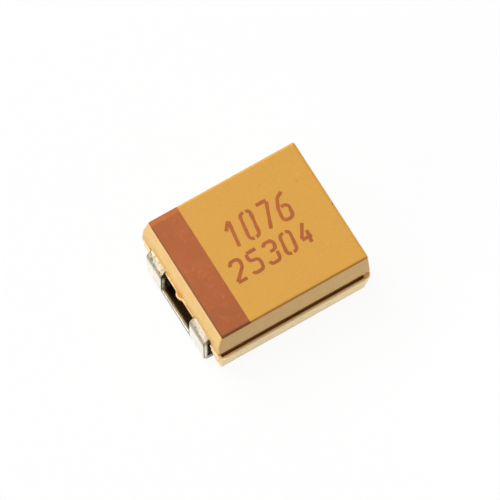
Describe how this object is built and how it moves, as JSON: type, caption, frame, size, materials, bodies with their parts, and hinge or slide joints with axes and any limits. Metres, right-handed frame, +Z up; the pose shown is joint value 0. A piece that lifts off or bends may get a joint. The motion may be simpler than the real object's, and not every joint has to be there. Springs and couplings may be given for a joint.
{
  "type": "tantalum capacitor",
  "caption": "Moulded surface-mount tantalum capacitor with a polarity band on a flat top and folded sheet-metal solder terminals at both ends.",
  "frame": {"origin": "middle of the footprint, on the board under the solder feet", "axes": "+X along the length towards the cathode, +Y across the width, +Z up away from the board"},
  "size_m": [0.0036, 0.003, 0.0016],
  "materials": {
    "moulded_epoxy": "satin moulded",
    "band_ink": "matt ink",
    "tinned_sheet": "bright tin plate",
    "tantalum": "drawn wire",
    "fluoropolymer": "waxy",
    "sintered_tantalum": "sintered grain",
    "manganese_dioxide": "matt crystalline",
    "carbon": "matt graphite",
    "silver_paint": "satin silver-filled resin",
    "silver_adhesive": "cured paste"
  },
  "bodies": {
    "root": {"case": "moulded_epoxy", "polarity_band": "band_ink", "anode_terminal": "tinned_sheet", "cathode_terminal": "tinned_sheet", "anode_wire": "tantalum", "insulating_washer": "fluoropolymer", "anode_pellet": "sintered_tantalum", "manganese_dioxide_coat": "manganese_dioxide", "carbon_coat": "carbon", "silver_coat": "silver_paint", "conductive_adhesive": "silver_adhesive"}
  },
  "joints": []
}
